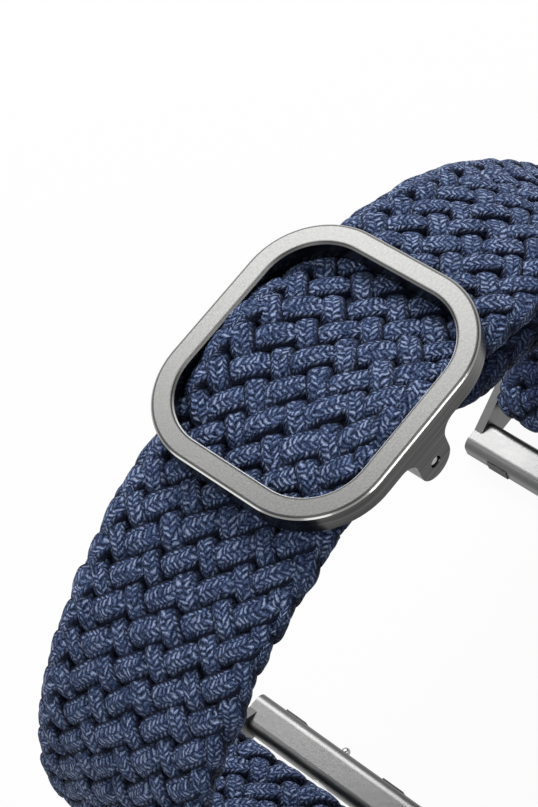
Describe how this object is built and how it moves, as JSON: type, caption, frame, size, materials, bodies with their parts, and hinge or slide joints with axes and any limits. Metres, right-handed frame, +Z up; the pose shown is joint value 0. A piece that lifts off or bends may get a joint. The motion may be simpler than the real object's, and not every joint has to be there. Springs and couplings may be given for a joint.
{
  "type": "braided watch strap",
  "caption": "Braided stretch watch strap in an open loop, folded through a sliding metal frame buckle, with a pivoting slide-in connector on each end.",
  "frame": {"origin": "on the floor, midway between the two connectors and midway across the strap", "axes": "+X along the strap towards the connector that the inner layer folds round, +Y across the strap, +Z up through the buckle"},
  "size_m": [0.0894, 0.0274, 0.0617],
  "materials": {
    "braid": "matt braided yarn",
    "thread": "matt thread",
    "core_rubber": "matt",
    "frame_metal": "fine brushed",
    "connector_metal": "bead blasted",
    "steel": "bright",
    "bumper_rubber": "matt"
  },
  "bodies": {
    "strap": {"strap_braid": "braid", "elastic_core": "core_rubber", "inner_run": "braid", "inner_core": "core_rubber", "tail_seal": "thread", "tail_stitches": "thread", "bar_sleeve": "steel"},
    "anchor": {"anchor_loop": "braid", "anchor_stitches": "thread", "pin_sleeve": "steel"},
    "buckle": {"buckle_frame": "frame_metal", "crossbar_pin": "steel"},
    "lug_a": {"connector_a": "connector_metal", "spring_bar_a": "steel", "bar_spring_a": "steel", "detent_spring_a": "steel", "detent_plug_a": "steel", "bumpers_a": "bumper_rubber"},
    "tip_a_front": {"bar_tip_a_front": "steel"},
    "tip_a_back": {"bar_tip_a_back": "steel"},
    "latch_a": {"detent_a": "steel"},
    "lug_b": {"connector_b": "connector_metal", "spring_bar_b": "steel", "bar_spring_b": "steel", "detent_spring_b": "steel", "detent_plug_b": "steel", "bumpers_b": "bumper_rubber"},
    "tip_b_front": {"bar_tip_b_front": "steel"},
    "tip_b_back": {"bar_tip_b_back": "steel"},
    "latch_b": {"detent_b": "steel"},
    "roller": {"roller_b": "steel"}
  },
  "joints": [
    {"name": "buckle_slide", "type": "hinge", "parent": "strap", "child": "anchor", "pos_m": [0, 0, 0.00654], "axis": [0, 1, 0], "range_deg": [-12, 12], "deforming": ["inner_run", "inner_core"]},
    {"name": "frame_tilt", "type": "hinge", "parent": "anchor", "child": "buckle", "pos_m": [0, 0, 0.05564], "axis": [0, 1, 0], "range_deg": [-1.5, 1.5]},
    {"name": "lug_a_pivot", "type": "hinge", "parent": "strap", "child": "lug_a", "pos_m": [-0.0291, 0, 0.0056], "axis": [0, 1, 0], "range_deg": [-30, 30]},
    {"name": "lug_b_pivot", "type": "hinge", "parent": "strap", "child": "lug_b", "pos_m": [0.0291, 0, 0.0056], "axis": [0, 1, 0], "range_deg": [-30, 30]},
    {"name": "roller_spin", "type": "hinge", "parent": "lug_b", "child": "roller", "pos_m": [0.0291, 0, 0.0056], "axis": [0, 1, 0], "continuous": true},
    {"name": "tip_a_front_press", "type": "slide", "parent": "lug_a", "child": "tip_a_front", "axis": [0, 1, 0], "range_m": [0, 0.00095], "stiffness_N_per_m": 300, "springref_m": -0.002, "deforming": ["bar_spring_a"]},
    {"name": "tip_a_back_press", "type": "slide", "parent": "lug_a", "child": "tip_a_back", "axis": [0, -1, 0], "range_m": [0, 0.00095], "stiffness_N_per_m": 300, "springref_m": -0.002},
    {"name": "tip_b_front_press", "type": "slide", "parent": "lug_b", "child": "tip_b_front", "axis": [0, 1, 0], "range_m": [0, 0.00095], "stiffness_N_per_m": 300, "springref_m": -0.002, "deforming": ["bar_spring_b"]},
    {"name": "tip_b_back_press", "type": "slide", "parent": "lug_b", "child": "tip_b_back", "axis": [0, -1, 0], "range_m": [0, 0.00095], "stiffness_N_per_m": 300, "springref_m": -0.002},
    {"name": "latch_a_press", "type": "slide", "parent": "lug_a", "child": "latch_a", "axis": [-1, 0, 0], "range_m": [0, 0.0006], "stiffness_N_per_m": 300, "springref_m": -0.002, "deforming": ["detent_spring_a"]},
    {"name": "latch_b_press", "type": "slide", "parent": "lug_b", "child": "latch_b", "axis": [1, 0, 0], "range_m": [0, 0.0006], "stiffness_N_per_m": 300, "springref_m": -0.002, "deforming": ["detent_spring_b"]}
  ]
}
